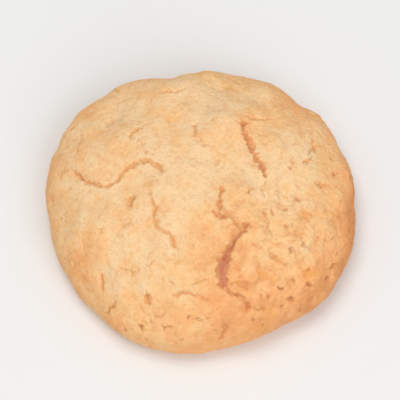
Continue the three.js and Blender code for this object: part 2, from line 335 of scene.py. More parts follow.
# %% The cracks that show most
WANDERER = [(-8.8, -0.3), (-8.4, -2.2), (-7.5, -4.9), (-7.2, -8.2), (-4.9, -10), (-4.2, -12), (-2.8, -15)]
FISSURE = [(8, -7.6), (6.9, -9), (5.7, -10.6), (4.9, -12.2), (4.2, -14), (3.9, -16.6), (4.1, -19.4)]
NORTHERN = [(6.8, 12), (7.9, 8.4), (9.2, 5.5), (10.2, 2.9), (10.9, 0.2)]
BROW = [(-22.5, 4.4), (-20.6, 2.2), (-18.4, 0.4), (-15.4, -0.1), (-11.8, 2.6), (-8.5, 3.5), (-5.5, 1.1)]
CRACKS = [  # step is how much higher its left side stands, looking along it; points are chart places
    dict(width=2.0, depth=2.2, taper=20, step=0.2, head=0.8, lean=0.6, steep=0.35, points=FISSURE),
    dict(width=1.1, depth=1.4, taper=6, points=[(4, -18.5), (5.6, -20), (8.3, -21.7), (8.1, -23.3)]),
    dict(width=1.2, depth=1.2, taper=5, points=[(5.4, -7.3), (6.3, -8.3), (6.7, -9.8)]),
    dict(width=1.0, depth=1.3, taper=6, points=[(3.6, -0.7), (3.5, -2.7), (3.2, -4.6), (3.1, -6.4)]),
    dict(width=1.6, depth=1.3, taper=4, points=[(1.5, -5.9), (3.1, -6.5), (4.9, -7)]),
    dict(width=1.2, depth=1.5, taper=12, step=0.1, points=NORTHERN),
    dict(width=0.9, depth=0.8, points=[(-0.6, 11.3), (-0.8, 7.6)]),
    dict(width=1.1, depth=0.75, taper=12, step=0.35, points=BROW),
    dict(width=0.9, depth=0.85, taper=4, points=WANDERER),
    dict(width=1.4, depth=0.85, taper=9, points=[(-11.3, -2.5), (-11.9, -4.8)]),
    dict(width=0.6, depth=0.5, points=[(-15, -16), (-13.4, -15.4), (-11.4, -15.9), (-9.3, -15.1)]),
    dict(width=0.9, depth=0.8, taper=5, points=[(-17.9, -15.4), (-17.7, -17.3), (-17.2, -19.4)]),
    dict(width=0.9, depth=0.75, points=[(-17.7, -23), (-15.9, -21.7), (-14.2, -20.4)]),
    dict(width=1.3, depth=1.0, taper=6, points=[(-9, -19.1), (-9.1, -21.7)]),
    dict(width=0.9, depth=0.8, taper=5, points=[(-5.2, -20.5), (-2.6, -19.6), (-0.3, -20.3), (2.6, -21.5)]),
    dict(width=1.0, depth=0.8, taper=5, points=[(3.8, -24.6), (4.5, -27), (3.5, -29.3)]),
    dict(width=0.8, depth=0.7, points=[(4.7, -17.8), (7, -18.4), (9, -17.7)]),
    dict(width=0.9, depth=0.7, points=[(10.9, -11.3), (12.6, -13.3), (15, -14.9)]),
]
ROUTE_STEP = 0.15


def smooth_route(points):
    """Places along the smooth line through a crack's points, a step apart.

    Its knots k stand apart by the square root of each gap, so that it never loops between two points.
    """
    points = [np.array(point, float) for point in points]
    ends = [2 * points[0] - points[1], *points, 2 * points[-1] - points[-2]]
    route = []
    for a, b, c, d in zip(ends, ends[1:], ends[2:], ends[3:]):
        gaps = [math.dist(a, b) ** 0.5, math.dist(b, c) ** 0.5, math.dist(c, d) ** 0.5]
        k = np.cumsum([0, *gaps])
        count = max(2, round(math.dist(b, c) / ROUTE_STEP))
        t = np.linspace(k[1], k[2], count, endpoint=False)[:, None]
        first = (a * (k[1] - t) + b * (t - k[0])) / (k[1] - k[0])
        second = (b * (k[2] - t) + c * (t - k[1])) / (k[2] - k[1])
        third = (c * (k[3] - t) + d * (t - k[2])) / (k[3] - k[2])
        early = (first * (k[2] - t) + second * (t - k[0])) / (k[2] - k[0])
        late = (second * (k[3] - t) + third * (t - k[1])) / (k[3] - k[1])
        route.append((early * (k[2] - t) + late * (t - k[1])) / (k[2] - k[1]))
    return np.vstack([*route, points[-1][None]])


print("the wide fissure is about", round(ROUTE_STEP * len(smooth_route(FISSURE)), 1), "mm long")

# %% [markdown]
# Each crack is then pressed into the crust. Where a point lies within half the width of the line, it goes
# down: to a sharp line in a narrow crack, and to a rounded bottom in a deep one, where crumb has fallen in.
# The wide fissure starts narrow and leans: its west wall slopes gently there, down to a line on the east,
# and further on both of its walls stand steep.
# Just outside, the lip curls up a hair, as dried crust does, and where one side stands higher, the step
# fades out over a few millimetres. The deepest cut at a point wins, so that cracks meet cleanly.

# %% Pressing in the cracks
TIP = 0.08  # how wide a crack's tips are, as a share of its width
TAPER = 3.2  # how fast it widens from its tips, as shares of its width for its whole length
HEAD_UNTIL = 0.35  # how far along a crack its head reaches, and from where it has its full width
FULL_FROM = 0.55
CRUMB_DEPTH = 1.3  # no crack looks deeper than this, because fallen crumb fills the rest
LIP_RISE = 0.06
LIP_REACH = 0.4
STEP_REACH = 1.6
NEARBY = 5  # how far beyond a crack's ends and sides its points are looked for
RAGGED = 0.45  # how unevenly wide a crack is

torn = np.column_stack([east, north]) + 0.45 * drift(1.4, seed=9) + 0.4 * drift(0.6, seed=10)
ragged = 1 + RAGGED * lumps(0.9, seed=11, octaves=2)
crack_depth = np.zeros(len(east))
crack_lift = np.zeros(len(east))


def press_crack(width, depth, points, taper=TAPER, step=0, head=1, lean=0, steep=0):
    """Presses one crack into crack_depth, and its lips and step into crack_lift.

    The head is the share of its width and depth that it has where it starts. There its deepest line lies
    to the left, looking along it, by the lean, a share of half the width. Steep bends its walls, from 0
    for straight ones up towards 1, where it has its full width.
    """
    route = smooth_route(points)
    heading = np.gradient(route, axis=0)
    along = np.linspace(0, 1, len(route))
    swelling = smoothstep(along, HEAD_UNTIL, FULL_FROM)
    opening = (head + (1 - head) * swelling) * np.minimum(1, TIP + taper * np.minimum(along, 1 - along))
    lowest, highest = route.min(axis=0) - NEARBY, route.max(axis=0) + NEARBY
    near = np.flatnonzero(((torn > lowest) & (torn < highest)).all(axis=1))
    off = torn[near, None] - route[None]
    away = np.hypot(off[..., 0], off[..., 1])
    nearest = away.argmin(axis=1)
    rows = np.arange(len(near))
    gap = away[rows, nearest]
    turn = heading[nearest, 0] * off[rows, nearest, 1] - heading[nearest, 1] * off[rows, nearest, 0]
    half = width / 2 * opening[nearest] * ragged[near]
    across = np.clip(np.sign(turn) * gap / half, -1, 1)
    keel = lean * (1 - swelling[nearest])
    wall = np.where(across < keel, (1 + across) / (1 + keel), (1 - across) / (1 - keel))
    down = depth * opening[nearest] * wall ** (1 - steep * swelling[nearest])
    crack_depth[near] = np.maximum(crack_depth[near], CRUMB_DEPTH * (1 - np.exp(-down / CRUMB_DEPTH)))
    lip = LIP_RISE * min(1, width) * np.exp(-(((gap - half) / LIP_REACH) ** 2)) * (gap > half)
    fade = np.exp(-gap / STEP_REACH) * opening[nearest]
    crack_lift[near] += lip * opening[nearest] + step / 2 * np.sign(turn) * fade


for crack in CRACKS:
    press_crack(**crack)
print("the deepest crack is", round(crack_depth.max(), 2), "mm deep")

# %% [markdown]
# Finer cracks fill the crust between. In front they can be made out in the photograph, thin as they are, and
# are placed one by one. Behind they are scattered by the rule that the solid uses: each is put a golden angle
# further round than the last, as seeds are in a sunflower's head, which spreads them without a pattern.

# %% Hairlines
FINE_CRACKS = [  # the first joins the short, wide tear south of the crown to the wide fissure
    dict(width=0.9, depth=0.9, taper=8, points=[(3.5, -6.3), (4.9, -7.1), (6, -7.9), (6.6, -8.9)]),
    dict(width=0.5, depth=0.6, points=[(10.9, 0.4), (10.6, -1), (10.1, -3.1)]),
    dict(width=0.6, depth=0.7, points=[(-2, -18.6), (-0.3, -18), (1.4, -17.3)]),
    dict(width=0.7, depth=0.7, taper=5, points=[(-5.2, -17.2), (-4.4, -18.4)]),
    dict(width=0.4, depth=0.5, points=[(-2.9, 7.1), (-0.5, 7), (2.5, 5.5), (2.7, 2.4)]),
    dict(width=0.6, depth=0.6, points=[(15.8, 6), (15.7, 4.9), (14.8, 2.5)]),
    dict(width=0.7, depth=0.7, taper=5, points=[(17.3, 3.7), (19.2, 5.5)]),
    dict(width=0.8, depth=0.8, taper=5, points=[(19.4, 0.9), (20.8, 0.7), (22, 0.8)]),
    dict(width=0.6, depth=0.7, points=[(7.4, -2.9), (8.2, -1.8), (8.9, -0.6)]),
    dict(width=0.9, depth=0.8, taper=5, points=[(23.3, -14), (24.7, -12.2)]),
    dict(width=0.6, depth=0.6, points=[(14.5, -13.4), (15.9, -11.6)]),
    dict(width=0.4, depth=0.5, points=[(-11.8, -5.8), (-12, -7.5), (-13.5, -8.9)]),
    dict(width=0.4, depth=0.5, points=[(-22.2, -15.2), (-20.4, -17.2)]),
    dict(width=0.5, depth=0.7, points=[(8.6, -22.1), (10.5, -22.7), (12.3, -22.1)]),
    dict(width=0.4, depth=0.6, points=[(-5.4, -21.8), (-6.7, -23.4), (-9, -23.6)]),
    dict(width=0.4, depth=0.6, points=[(2.7, -22.6), (0.5, -24.3), (-2.2, -23.8)]),
    dict(width=0.6, depth=0.7, taper=5, points=[(-7, -25), (-5.8, -25.5), (-4.6, -25.1)]),
]
HAIRLINE_COUNT = 20
HAIRLINE_RING = (11, 30)
HAIRLINE_LENGTH = (3, 7)
HAIRLINE_BOW = 0.3
HAIRLINE_WIDTH = 0.7
HAIRLINE_DEPTH = 0.6
HAIRLINE_BEHIND = 2  # only those further north than this are kept
TURN_DRAWS = 200  # where each kind of draw starts counting
BOW_DRAWS = 300


def scattered(count, ring, number):
    """The chart place of one of a count, spread evenly over a ring."""
    nearest, farthest = ring
    reach = math.sqrt(nearest**2 + (farthest**2 - nearest**2) * (number + 0.5) / count)
    heading = GOLDEN_ANGLE * number
    return reach * np.array([math.cos(heading), math.sin(heading)])


def hairline(number):
    """A short crack of three points, drawn for a number."""
    place = scattered(HAIRLINE_COUNT, HAIRLINE_RING, number)
    half = draw_between(*HAIRLINE_LENGTH, number) / 2
    turn = math.pi * draw(TURN_DRAWS + number)
    forth = half * np.array([math.cos(turn), math.sin(turn)])
    aside = draw_between(-HAIRLINE_BOW, HAIRLINE_BOW, BOW_DRAWS + number) * np.array([-forth[1], forth[0]])
    points = [place - forth, place + aside, place + forth]
    return dict(width=HAIRLINE_WIDTH, depth=HAIRLINE_DEPTH, points=points)


hairlines = [hairline(number) for number in range(HAIRLINE_COUNT)]
hairlines = [crack for crack in hairlines if crack["points"][1][1] > HAIRLINE_BEHIND]
for crack in FINE_CRACKS + hairlines:
    press_crack(**crack)
print(len(CRACKS), "cracks,", len(FINE_CRACKS), "fine ones and", len(hairlines), "hairlines are pressed in")

# %% [markdown]
# The foot spread and dried first, so it is nicked all round by tears a millimetre or so long, most of them
# level with the tray. They are pressed in like the cracks, each as a straight line between two places.

# %% Tears round the foot
TEAR_COUNT = 50
TEAR_RING = (25, 33)
TEAR_LENGTH = (0.6, 2)
TEAR_WIDTH = (0.4, 0.6)
TEAR_DEPTH = 0.4
TEAR_SLANT = 0.8  # the most that a tear turns away from level, in radians
TEAR_DRAWS = 10000

for number in range(TEAR_COUNT):
    place = scattered(TEAR_COUNT, TEAR_RING, number)
    half = draw_between(*TEAR_LENGTH, TEAR_DRAWS + number) / 2
    turn = math.atan2(place[0], -place[1]) + draw_between(-TEAR_SLANT, TEAR_SLANT, TEAR_DRAWS - number)
    forth = half * np.array([math.cos(turn), math.sin(turn)])
    press_crack(draw_between(*TEAR_WIDTH, number), TEAR_DEPTH, [place - forth, place + forth])
print(TEAR_COUNT, "tears are pressed in round the foot")

# %% [markdown]
# The finest crackle is too fine and too branched to place line by line. The seams between the plates are
# just such a net of meeting lines. Left whole it would look like a giraffe's coat, so a broad noise decides
# where a seam has opened, and only stretches of it are left.

# %% Crackle
CRACKLE_WIDTH = 0.2
CRACKLE_DEPTH = 0.14
CRACKLE_PATCH = 4  # the size of the patches that it shows in

crackle_shows = smoothstep(lumps(CRACKLE_PATCH, seed=13, octaves=2), 0.02, 0.25)
crackle = CRACKLE_DEPTH * crackle_shows * smoothstep(1 - plate_seam / CRACKLE_WIDTH, 0, 0.8)
print("crackle marks", round(100 * float((crackle > 0.05).mean()), 1), "% of the crust")

# %% [markdown]
# Where bubbles broke the crust while it was still soft, they left pits. The largest ones are the solid's,
# most of them in the browned patch. Fainter ones can be seen too, there and along the foot.
# Many smaller pores are scattered all over, some of them dropped by a draw, so that the browned side has
# more. A pit is a bowl, and the shaken ruler again makes its edge uneven.

# %% Pits and pores
PIT_PLACES = [
    (23.9, -13.2), (15.1, -12.1), (18.9, -17.3), (14.2, -18.7), (16.4, -20.2), (20.7, 0.7),
    (12.4, -13.2), (12, -20.5), (14.5, -14.4), (22.8, -15.9), (18.7, -14.7), (14.4, -5),
    (16.2, -17.1), (15.1, -22.4), (16.3, -23.8), (9.3, -24.4), (23.3, 6.9), (21.9, -18.9),
]
PIT_LARGEST = 0.68
PIT_SMALLEST = 0.36
PIT_DEPTH = 0.85  # as a share of the pit's size
PIT_BOWL = 0.8  # bends its wall, from 1 for a straight one down towards 0 for a steep one
FAINT_PITS = [
    (16.6, -10.6), (19, -22.3), (11.7, -25.7), (13, -26.7), (22.6, -23.9), (22.6, -8.9), (20, -12.9),
    (10.7, -5.9), (11.8, -5.7), (16.5, -2.7), (15.1, 2.7), (24, -4.6), (24.4, -1.5), (14.3, -7.9),
    (-16.3, -26), (-13.9, -25.6), (-10.6, -25.2), (-8.7, -24.4), (-6.4, -25.7), (-0.5, -23.9), (-24.6, -8.8),
    (23.5, 3.6), (-2, -23.7),
]
FAINT_SIZE = (0.34, 0.55)
PORE_COUNT = 700
PORE_RING = (1, 35)
PORE_SIZE = (0.18, 0.38)
PORE_DRAWS = 2000
PORE_SIZE_DRAWS = 4000
PORE_SHIFT_DRAWS = 6000
PORE_SHIFT = 0.8  # how far a pore strays from its even place
PORES_LEAST = 0.12  # these two set how few of the pores are left where the crust is smoothest
PORE_CROWDING = 1.5
STRETCH_DRAWS = 8000
MOST_STRETCH = 1.6  # how many times as long as wide the longest are

pit_depth = np.zeros(len(east))


def press_pit(place, size, number):
    """Presses a long bowl, about size in radius and turned by a draw, into pit_depth."""
    turn = math.pi * draw(STRETCH_DRAWS + number)
    stretch = math.sqrt(draw_between(1, MOST_STRETCH, STRETCH_DRAWS - number))
    off = torn - place
    along = (off[:, 0] * math.cos(turn) + off[:, 1] * math.sin(turn)) / stretch
    across = (off[:, 1] * math.cos(turn) - off[:, 0] * math.sin(turn)) * stretch
    away = np.hypot(along, across) / (size * ragged)
    inside = away < 1
    pit_depth[inside] = np.maximum(pit_depth[inside], PIT_DEPTH * size * (1 - away[inside]) ** PIT_BOWL)


for number, place in enumerate(PIT_PLACES):
    share = number / (len(PIT_PLACES) - 1)
    press_pit(place, PIT_LARGEST + (PIT_SMALLEST - PIT_LARGEST) * share, number)
for number, place in enumerate(FAINT_PITS, len(PIT_PLACES)):
    press_pit(place, draw_between(*FAINT_SIZE, PORE_SIZE_DRAWS - number), number)
pores = 0
for number in range(PORE_COUNT):
    strays = [draw_between(-PORE_SHIFT, PORE_SHIFT, PORE_SHIFT_DRAWS + way * number) for way in (1, -1)]
    place = scattered(PORE_COUNT, PORE_RING, number) + strays
    if draw(PORE_DRAWS + number) < crag_share(*place, PORES_LEAST) ** PORE_CROWDING:
        press_pit(place, draw_between(*PORE_SIZE, PORE_SIZE_DRAWS + number), number)
        pores += 1
print(len(PIT_PLACES) + len(FAINT_PITS), "pits and", pores, "pores are pressed in")

# %% [markdown]
# Now the crust can be raised: the solid's relief, the grain on it, and the cracks and pits in it. The whole
# is set down just as the solid was, with the middle of its outline over the origin, and its box is printed.

# %% Raising the crust
FOOT_SEAM = 0.06  # the share of the side above the foot over which the cracks run out
ROUGH_FLOOR = 0.5  # how uneven the bottom of a crack or pit is

solid_form = smooth_dome + straight_out * relief(east, north)[:, None]
middle = (solid_form[:, :2].min(axis=0) + solid_form[:, :2].max(axis=0)) / 2
foot_fade = smoothstep(1 - crust_share, 0, FOOT_SEAM)
carved = np.maximum(np.maximum(crack_depth, crackle), pit_depth)
rough_floor = 1 + ROUGH_FLOOR * lumps(0.7, seed=14, octaves=2)
height = relief(east, north) + calm(east, north) ** 0.5 * grain
height += foot_fade * (crack_lift - carved * rough_floor)
crust = smooth_dome + straight_out * height[:, None]
crust[:, :2] -= middle
crust[:, 2] = np.maximum(crust[:, 2], 0)
print("the crust's box is", np.round(crust.max(axis=0) - crust.min(axis=0), 1), "mm")
print("it was moved by", np.round(-middle, 2), "mm")

# %% [markdown]
# The base lay on the baking sheet, so it is flat, browned evenly and finely pored. It is one more stretch of
# rings, from just inside the foot to the middle. Its points stay on the table, apart from shallow hollows
# where air was caught under the dough.

# %% The base
HOLLOW_SIZE, HOLLOW_DEPTH = 2.6, 0.35
BASE_TOOTH_SIZE, BASE_TOOTH_HEIGHT = 0.8, 0.06

foot_share = 1 - FOOT_INSET / RADIUS
base_radius = RADIUS * foot_share * (1 + (outline_factor(base_heading) - 1) * foot_share**2) * base_share
base = np.column_stack([
    base_radius * np.cos(base_heading) - middle[0],
    base_radius * np.sin(base_heading) - middle[1],
    np.zeros(len(base_share)),
])
hollows = smoothstep(fractal(base / HOLLOW_SIZE + SEED_SHIFT, 3), 0.15, 0.6)
teeth = np.abs(fractal(base / BASE_TOOTH_SIZE - SEED_SHIFT, 2))
base[:, 2] = HOLLOW_DEPTH * hollows + BASE_TOOTH_HEIGHT * teeth
print("the base's deepest hollow is", round(base[:, 2].max(), 2), "mm")

# %% [markdown]
# Two neighbouring rings are joined by a strip of triangles, like the lacing between two hoops: at each turn
# the lace steps on along whichever hoop lags behind, and never along one that is a single point. Laced one
# after another, the rings close the skin.
# A mesh made from such lists is what Blender calls from_pydata.

# %% Lacing the skin
def lace(start, size, next_start, next_size):
    """The triangles between two rings of points, given the first point and the size of each."""
    steps, next_steps = [0 if count == 1 else count for count in (size, next_size)]
    here, there = 0, 0
    faces = []
    while here < steps or there < next_steps:
        a = start + here % size
        b = next_start + there % next_size
        there_lags = there < next_steps and (there + 1) * steps <= (here + 1) * next_steps
        if here == steps or there_lags:
            there += 1
            faces.append((a, b, next_start + there % next_size))
        else:
            here += 1
            faces.append((a, b, start + here % size))
    return faces


ring_sizes = crust_sizes + base_sizes
ring_starts = np.concatenate([[0], np.cumsum(ring_sizes)[:-1]]).tolist()
rings = list(zip(ring_starts, ring_sizes))
triangles = [face for one, other in zip(rings, rings[1:]) for face in lace(*one, *other)]
mesh = bpy.data.meshes.new("cookie_crust")
mesh.from_pydata((np.vstack([crust, base]) * MM).tolist(), [], triangles)
mesh.shade_smooth()
cookie = bpy.data.objects.new("cookie_crust", mesh)
bpy.context.scene.collection.objects.link(cookie)
print("the cookie has", len(mesh.polygons), "triangles; the mesh is valid:", not mesh.validate())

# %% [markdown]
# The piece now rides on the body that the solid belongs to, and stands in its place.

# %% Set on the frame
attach(cookie, "root")
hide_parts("cookie")
print("cookie_crust stands in for the solid")

# %% [markdown]
# A crust's colour follows its making. It is palest where it rose smooth, more orange where it browned at
# the foot and on the broken side, and red-brown down in the cracks. The mesh knows these things, so they are
# stored on it as attributes, one number for each point, for the material to read.
# The toast is a slow change over the whole cookie, stronger along the rim on the right, where it is partly
# browning and partly painted shade. Honey marks the few yellow blotches, and the dip value tells the tops of
# crumbs from the dips between them, which the material darkens as painted shade.

# %% What the mesh tells the material
TOAST_LEAST = 0.14
TOAST_MOST = 1.5
FOOT_TOAST = 0.5
PATCH_TOAST = 0.25
UNEVEN_TOAST = 0.35
BASE_TOAST = 0.95
RIM_TOAST_AND_SHADE = 1.15  # how much darker the rim is on its right side, partly browning and partly painted shade
RIM_HEADING = math.radians(-8)  # the heading of that side
DARKEST_CRACK = 1.2  # how deep a crack or pit is where its colour is full
DARKEST_PIT = 0.4
CREVICE_CONTRAST = 4  # how fast the crevice value falls with each millimetre of height
BLUSHES = [  # browner patches: the chart place of each, its reach and how much browner it is
    ((-20, -12), 6, 0.5),
    ((4, -15), 14, 0.4),
    ((7.6, -18.3), 2.4, 0.5),
    ((1, -27), 12, 0.5),
    ((12, 12), 9, 0.2),
]
HONEY = [  # yellow blotches: the chart place and the reach of each
    ((17.7, -5.6), 1.6),
    ((10.4, -16.4), 1.7),
    ((18.8, -15.6), 2),
    ((13.2, -23.6), 2.2),
    ((11.7, -26.2), 2),
    ((-8.7, -1), 1.8),
    ((-4.2, -11.2), 1.6),
]


def store(name, crust_values, base_value):
    """Keeps one number for each point of the cookie under a name that a material can read."""
    values = np.concatenate([crust_values, np.full(len(base), base_value)])
    mesh.attributes.new(name, "FLOAT", "POINT").data.foreach_set("value", values.astype(np.float32))
    print(name, "runs from", round(values.min(), 2), "to", round(values.max(), 2))


foot_toast = FOOT_TOAST * smoothstep(crust_share, 0.45, 0.95)
patch_toast = PATCH_TOAST * (crag_share(east, north, 0) ** 0.8)
broad_toast = UNEVEN_TOAST * lumps(9, seed=15, octaves=2)
uneven_toast = broad_toast + UNEVEN_TOAST * lumps(3.2, seed=16, octaves=2)
toast_and_shade = TOAST_LEAST + foot_toast + patch_toast + uneven_toast
# Along the rim on the right the toast rises further: partly browning, partly painted shade.
facing = np.clip(np.cos(crust_heading - RIM_HEADING), 0, 1) ** 2
toast_and_shade += RIM_TOAST_AND_SHADE * facing * smoothstep(crust_share, 0.55, 0.9)


def patch(place, reach):
    """1 round a chart place, fading to 0 at its reach, with a ragged edge."""
    away = np.hypot(*(torn - place).T) * (0.7 + 0.3 * ragged)
    return 1 - smoothstep(away, 0.15 * reach, reach)


for place, reach, share in BLUSHES:
    toast_and_shade += share * patch(place, reach)
honey = np.max([patch(place, reach) for place, reach in HONEY], axis=0)
# The dip value is high in the dips between crumbs, which the material darkens as painted shade.
crumb_level = crumb + tooth + 0.5 * puff
dip_shade = np.clip(0.5 - CREVICE_CONTRAST * (crumb_level - np.median(crumb_level)), 0, 1)
store("toast_and_shade", np.clip(toast_and_shade, 0, TOAST_MOST), BASE_TOAST)
store("dip_shade", dip_shade, 0.5)
store("crack", np.clip(np.maximum(crack_depth, 0.8 * crackle) / DARKEST_CRACK, 0, 1), 0)
store("pit", np.clip(pit_depth / DARKEST_PIT, 0, 1), 0)
# The seam value marks the creases between puffs, which the material darkens as painted shade.
store("seam", puffy * smoothstep(1 - puff_rise, 0.55, 1), 0)
store("honey", honey, 0)
store("base", np.zeros(len(east)), 1)

# %% [markdown]
# A material in Blender is a net of nodes, and sums on its masks are Math nodes. Placing each by hand makes
# long scripts that are hard to read. So one small class wraps a socket and gives it arithmetic: with it,
# 1 - mask * 0.5 adds the two Math nodes that work it out. Any other node comes from one method, which takes
# the node's type, then its settings, then what goes into its sockets.

# %% A shader that reads like sums
MIX_FACTOR = 0  # the Mix node's sockets for colours go by number, because its names repeat
MIX_FIRST = 6
MIX_SECOND = 7
MIX_RESULT = 2


class Wire:
    """A socket of a material's node. Arithmetic on it adds Math nodes."""

    def __init__(self, finish, socket):
        self.finish = finish
        self.socket = socket

    def reckon(self, operation, first, second):
        return self.finish.node("ShaderNodeMath", {"operation": operation}, {0: first, 1: second})

    def __add__(self, other):
        return self.reckon("ADD", self, other)

    def __radd__(self, other):
        return self.reckon("ADD", other, self)

    def __sub__(self, other):
        return self.reckon("SUBTRACT", self, other)

    def __rsub__(self, other):
        return self.reckon("SUBTRACT", other, self)

    def __mul__(self, other):
        return self.reckon("MULTIPLY", self, other)

    def __rmul__(self, other):
        return self.reckon("MULTIPLY", other, self)


class Finish:
    """A new material that starts empty, apart from its surface shader."""

    def __init__(self, name):
        self.material = bpy.data.materials.new(name)
        self.material.use_nodes = True
        self.nodes = self.material.node_tree.nodes
        self.links = self.material.node_tree.links
        self.surface = self.nodes["Principled BSDF"]

    def node(self, kind, settings, inputs, output=0):
        """Adds a node and gives one of its outputs as a wire."""
        made = self.nodes.new(kind)
        for name, value in settings.items():
            setattr(made, name, value)
        self.plug(made, inputs)
        return Wire(self, made.outputs[output])

    def plug(self, made, inputs):
        """Sets a node's sockets to values, or links them to wires."""
        for name, value in inputs.items():
            if isinstance(value, Wire):
                self.links.new(value.socket, made.inputs[name])
            else:
                made.inputs[name].default_value = value

    def warp(self, place, size, reach):
        """A place pushed about unevenly, by up to about reach millimetres."""
        push = self.node("ShaderNodeTexNoise", {}, {"Vector": place, "Scale": 1 / (size * MM)}, "Color")
        settings = {"operation": "MULTIPLY_ADD"}
        full = 2 * reach * MM
        shift = self.node("ShaderNodeVectorMath", settings, {0: push, 1: [full] * 3, 2: [-full / 2] * 3})
        return self.node("ShaderNodeVectorMath", {"operation": "ADD"}, {0: place, 1: shift})

    def grains(self, place, size):
        """Rounded grains about size across: their height from 0 to 1, and a tone that each has."""
        away = self.node("ShaderNodeTexVoronoi", {}, {"Vector": place, "Scale": 1 / (size * MM)}, "Distance")
        colours = Wire(self, away.socket.node.outputs["Color"])
        return 1 - away * away, self.node("ShaderNodeSeparateColor", {}, {"Color": colours}, "Red")

    def attribute(self, name):
        """A number that the mesh keeps for each point."""
        return self.node("ShaderNodeAttribute", {"attribute_name": name}, {}, "Fac")

    def rise(self, value, start, end):
        """0 before start, 1 after end, and a smooth rise between them."""
        limits = {"Value": value, "From Min": start, "From Max": end}
        return self.node("ShaderNodeMapRange", {"interpolation_type": "SMOOTHSTEP"}, limits)

    def mix(self, share, first, second, blend="MIX"):
        """A colour between two, by share."""
        settings = {"data_type": "RGBA", "blend_type": blend}
        inputs = {MIX_FACTOR: share, MIX_FIRST: first, MIX_SECOND: second}
        return self.node("ShaderNodeMix", settings, inputs, MIX_RESULT)

    def cloud(self, place, size, detail=2.0):
        """Soft noise from 0 to 1 whose lumps are about size millimetres across."""
        inputs = {"Vector": place, "Scale": 1 / (size * MM), "Detail": detail}
        return self.node("ShaderNodeTexNoise", {}, inputs, "Fac")


def paint(red, green, blue):
    """A colour as it is seen on a screen, in the linear values that Blender mixes."""
    shares = [value / 255 for value in (red, green, blue)]
    return [*(s / 12.92 if s <= 0.04045 else ((s + 0.055) / 1.055) ** 2.4 for s in shares), 1]


print("pale crust mixes as", [round(value, 3) for value in paint(247, 210, 162)])

# %% [markdown]
# The crust's colour is layered like the baking: pale dough first, then straw, tan and rust as it toasts,
# where the rust along the right rim is partly painted shade, then a darker tone in the dips between crumbs
# and in the creases between puffs, which is painted shade, small warm blotches, grains of meal that are each
# a little paler or darker, and dark specks of almond skin. Each layer is a mix of two colours by a mask, and
# soft noise breaks up every mask.

# %% The crust's colour
PALE = paint(247, 210, 162)
STRAW = paint(248, 198, 140)
TAN = paint(248, 180, 120)
# Rust is partly the darkest browning and partly painted shade along the right rim.
RUST_AND_SHADE = paint(222, 148, 92)
# The next two tones are painted shade: for the dips between crumbs and for the creases between puffs.
DIP_SHADE = paint(236, 168, 106)
SEAM_SHADE = paint(226, 152, 92)
BLOTCH = paint(243, 176, 98)
HONEY_TONE = paint(240, 168, 88)
SPECK = paint(182, 116, 76)
GRAIN_PALE = paint(252, 218, 172)
GRAIN_DARK = paint(228, 168, 112)
LIP = paint(229, 169, 112)
DEEP = paint(208, 136, 104)
PIT = paint(184, 116, 78)
BASE = paint(216, 152, 96)

crust_finish = Finish("almond_crust")
place = crust_finish.node("ShaderNodeTexCoord", {}, {}, "Object")
toast_and_shade_level = crust_finish.attribute("toast_and_shade") + 0.3 * (crust_finish.cloud(place, 1.6, detail=4.0) - 0.5)
colour = crust_finish.mix(crust_finish.rise(toast_and_shade_level, 0.0, 0.5), PALE, STRAW)
colour = crust_finish.mix(crust_finish.rise(toast_and_shade_level, 0.4, 1.0), colour, TAN)
# The darkest toast, along the right rim, is partly painted shade.
colour = crust_finish.mix(crust_finish.rise(toast_and_shade_level, 0.9, 1.5), colour, RUST_AND_SHADE)
# Painted shade: the dips between crumbs and the creases between puffs are darkened.
dip_shade_share = crust_finish.rise(crust_finish.attribute("dip_shade"), 0.45, 1.0) * (0.2 + 0.4 * toast_and_shade_level)
colour = crust_finish.mix(dip_shade_share, colour, DIP_SHADE)
colour = crust_finish.mix(crust_finish.attribute("seam") * 0.45, colour, SEAM_SHADE)
blotch_share = crust_finish.rise(crust_finish.cloud(place, 2.6, detail=3.0), 0.58, 0.72) * 0.4
colour = crust_finish.mix(blotch_share, colour, BLOTCH)
colour = crust_finish.mix(crust_finish.attribute("honey") * 0.45, colour, HONEY_TONE)
shaken = crust_finish.warp(place, size=0.5, reach=0.15)
meal_height, meal_tone = crust_finish.grains(shaken, size=0.62)
sand_height, sand_tone = crust_finish.grains(place, size=0.3)
tone = 0.6 * meal_tone + 0.4 * sand_tone
pale_share = 0.34 - 0.15 * toast_and_shade_level
colour = crust_finish.mix(crust_finish.rise(tone, 0.55, 0.95) * pale_share, colour, GRAIN_PALE)
colour = crust_finish.mix(crust_finish.rise(1 - tone, 0.6, 0.95) * 0.36, colour, GRAIN_DARK)
speck_share = crust_finish.rise(crust_finish.cloud(place, 0.5, detail=1.0), 0.7, 0.78) * 0.38
colour = crust_finish.mix(speck_share, colour, SPECK)
colour = crust_finish.mix(crust_finish.attribute("base"), colour, BASE)
print("the crust's colour takes", len(crust_finish.nodes), "nodes so far")

# %% [markdown]
# Hairlines much finer than a fifth of a millimetre can't be held by the mesh. They are drawn in the
# material: the edges between Voronoi cells, on a shaken place so that they run unevenly, and shown only
# where a broad noise lets them. They darken the colour a little here, and dent the surface further on.

# %% Hairlines in the material
HAIR_CELL = 2.4
HAIR_WIDTH = 0.1  # as a share of a cell

